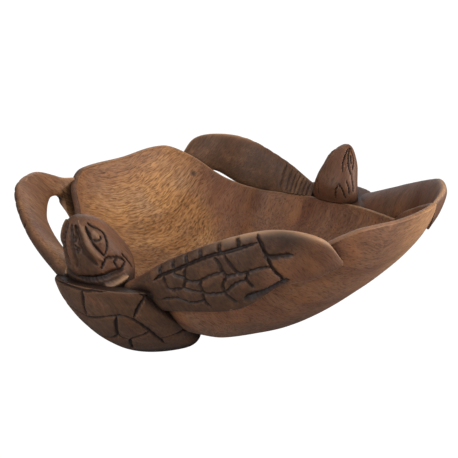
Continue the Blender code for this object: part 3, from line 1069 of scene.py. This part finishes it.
def carved_wood(name):
    """Oiled hardwood: fibre streaks and pores, gold or brown, stained dark and worn light, with
    painted shade, light and highlights laid in by the same shades.
    """
    material = bpy.data.materials.new(name)
    material.use_nodes = True
    tree = material.node_tree
    surface = tree.nodes["Principled BSDF"]
    place, fibre = fibre_space(tree)
    streaks = pattern(tree, fibre, STREAK_SCALE, 1)
    pores = pattern(tree, fibre, PORE_SCALE, 2)

    wood = bare_wood(tree, place, fibre, streaks, pores)
    wood = stained(tree, place, fibre, wood)
    feed(tree, surface.inputs["Base Color"], worn_and_grimy(tree, wood))
    feed(tree, surface.inputs["Roughness"], ranged(tree, pores, *DULL_PORES, *ROUGHNESS))
    surface.inputs["Specular IOR Level"].default_value = SPECULAR

    bump = tree.nodes.new("ShaderNodeBump")
    bump.inputs["Strength"].default_value = RELIEF_STRENGTH
    bump.inputs["Distance"].default_value = RELIEF_DEPTH
    tree.links.new(streaks, bump.inputs["Height"])
    tree.links.new(bump.outputs[0], surface.inputs["Normal"])
    return material


FLOOR_COLOUR = (0.3, 0.29, 0.28, 1)
FLOOR_ROUGHNESS = 0.9
FLOOR_WHITENESS = 1.05


def white_floor():
    """Plain pale floor that is pure white to the camera and bounces a little soft light."""
    material = bpy.data.materials.new("white_floor")
    material.use_nodes = True
    tree = material.node_tree
    diffuse = tree.nodes["Principled BSDF"]
    diffuse.inputs["Base Color"].default_value = FLOOR_COLOUR
    diffuse.inputs["Roughness"].default_value = FLOOR_ROUGHNESS
    glow = tree.nodes.new("ShaderNodeEmission")
    glow.inputs["Color"].default_value = (1, 1, 1, 1)
    glow.inputs["Strength"].default_value = FLOOR_WHITENESS
    path = tree.nodes.new("ShaderNodeLightPath")
    either = tree.nodes.new("ShaderNodeMixShader")
    tree.links.new(path.outputs["Is Camera Ray"], either.inputs[0])
    tree.links.new(diffuse.outputs[0], either.inputs[1])
    tree.links.new(glow.outputs[0], either.inputs[2])
    tree.links.new(either.outputs[0], tree.nodes["Material Output"].inputs["Surface"])
    return material


# ---------------------------------------------------------------- the bowl

def as_drawn(points):
    """Near points stay where they are drawn."""
    return points


def build_turtle(side, place, shell, head, flippers):
    """Shell, head and two flippers of one turtle, each with the CAD node that it replaces."""
    made = [(build_shell(f"carved_{side}_shell", *shell, place), f"{side}_shell"),
            (build_head(f"carved_{side}_head", *head, place), f"{side}_head")]
    for hand, look in flippers.items():
        made.append((build_flipper(f"carved_{side}_{hand}_flipper", *look, place),
                     f"{side}_{hand}_flipper"))
    return made


def build_bowl():
    """All nine carved pieces, riding on the frame in place of the CAD solids."""
    right_edges = (RIGHT_TOP_EDGE, RIGHT_LOW_EDGE)
    near_left_edges = (NEAR_LEFT_TOP_EDGE, NEAR_LEFT_LOW_EDGE)
    far_left_edges = (FAR_LEFT_TOP_EDGE, FAR_LEFT_LOW_EDGE)
    pieces = [(build_basin(), "basin")]
    pieces += build_turtle(
        "near", as_drawn,
        (NEAR_SHELL_TILT, NEAR_TOP_SOOT),
        (NEAR_HEAD_SLIMNESS, NEAR_HEAD_LEAN, NEAR_FACE, EYE_CENTRE, SKULL_PITS),
        {"right": (right_edges, RIGHT_SIDE, NEAR_RIGHT_INSIDE),
         "left": (near_left_edges, LEFT_SIDE, NEAR_LEFT_INSIDE)})
    pieces += build_turtle(
        "far", half_turned,
        (FAR_SHELL_TILT, FAR_TOP_SOOT),
        (FAR_HEAD_SLIMNESS, FAR_HEAD_LEAN, FAR_FACE, FAR_EYE_CENTRE, ()),
        {"right": (right_edges, RIGHT_SIDE, FAR_RIGHT_INSIDE),
         "left": (far_left_edges, LEFT_SIDE, FAR_LEFT_INSIDE)})
    wood = carved_wood("carved_wood")
    for made, node in pieces:
        made.data.materials.append(wood)
        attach(made, "root")
        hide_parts(node)


# ---------------------------------------------------------------- studio

# Each light: the direction it shines from, its distance and size in metres, its power in
# watts and its colour.
LIGHTS = {
    "key": ((0.6, -0.85, 0.33), 1.4, 0.8, 30, (1, 0.97, 0.93)),
    "fill": ((-0.95, -0.3, 0.45), 1.6, 1.2, 29, (0.88, 0.94, 1)),
    "top": ((0, 0.1, 1), 1.5, 1.2, 7, (1, 1, 1)),
    "back": ((0.8, 0.75, 0.6), 1.5, 0.9, 5, (0.85, 0.93, 1)),
}
FLOOR_SIZE = 20

# The surroundings are white to the camera, and darker for the light that they give.
SOFT_SURROUNDINGS = (0.26, 0.26, 0.27, 1)
WHITE_SURROUNDINGS = (1.05, 1.05, 1.05, 1)

# The camera looks at its target from this bearing, height angle and distance. The target
# and the distance are in drawing mm, and NEAREST_SEEN is in metres.
CAMERA_AZIMUTH = math.radians(-48.47)
CAMERA_ELEVATION = math.radians(17.86)
CAMERA_DISTANCE = 532.4
CAMERA_TARGET = (-5.8, 6.6, 60)
CAMERA_LENS = 55.8
SENSOR_WIDTH = 36
NEAREST_SEEN = 0.01


def build_floor():
    """Large white floor under the bowl."""
    half = FLOOR_SIZE / 2
    mesh = bpy.data.meshes.new("floor")
    corners = [(-half, -half, 0), (half, -half, 0), (half, half, 0), (-half, half, 0)]
    mesh.from_pydata(corners, [], [(0, 1, 2, 3)])
    mesh.materials.append(white_floor())
    floor = bpy.data.objects.new("floor", mesh)
    bpy.context.scene.collection.objects.link(floor)


def area_light(name, direction, distance, size, power, colour):
    """Square soft light that shines on the bowl from a direction."""
    data = bpy.data.lights.new(name, "AREA")
    data.size = size
    data.energy = power
    data.color = colour
    lamp = bpy.data.objects.new(name, data)
    away = Vector(direction).normalized()
    lamp.location = away * distance
    lamp.rotation_mode = "QUATERNION"
    lamp.rotation_quaternion = away.to_track_quat("Z", "Y")
    bpy.context.scene.collection.objects.link(lamp)


def build_lights():
    """Soft key from the camera's right, cool fill from its left, and light from top and back."""
    for name, setting in LIGHTS.items():
        area_light(name, *setting)


def build_surroundings():
    """World that lights the bowl softly and stays white behind it."""
    world = bpy.data.worlds.new("surroundings")
    world.use_nodes = True
    tree = world.node_tree
    path = tree.nodes.new("ShaderNodeLightPath")
    glow = mixed(tree, path.outputs["Is Camera Ray"], SOFT_SURROUNDINGS, WHITE_SURROUNDINGS)
    tree.links.new(glow, tree.nodes["Background"].inputs["Color"])
    bpy.context.scene.world = world


def build_camera():
    """Camera at the photographer's place, a little above the rim."""
    back = Vector((math.sin(CAMERA_AZIMUTH) * math.cos(CAMERA_ELEVATION),
                   -math.cos(CAMERA_AZIMUTH) * math.cos(CAMERA_ELEVATION),
                   math.sin(CAMERA_ELEVATION)))
    data = bpy.data.cameras.new("camera")
    data.lens = CAMERA_LENS
    data.sensor_width = SENSOR_WIDTH
    data.clip_start = NEAREST_SEEN
    camera = bpy.data.objects.new("camera", data)
    camera.location = (Vector(CAMERA_TARGET) + back * CAMERA_DISTANCE) * UNIT
    camera.rotation_mode = "QUATERNION"
    camera.rotation_quaternion = back.to_track_quat("Z", "Y")
    bpy.context.scene.collection.objects.link(camera)
    bpy.context.scene.camera = camera


build_bowl()
build_floor()
build_lights()
build_surroundings()
build_camera()
bpy.context.scene.view_settings.view_transform = "Standard"
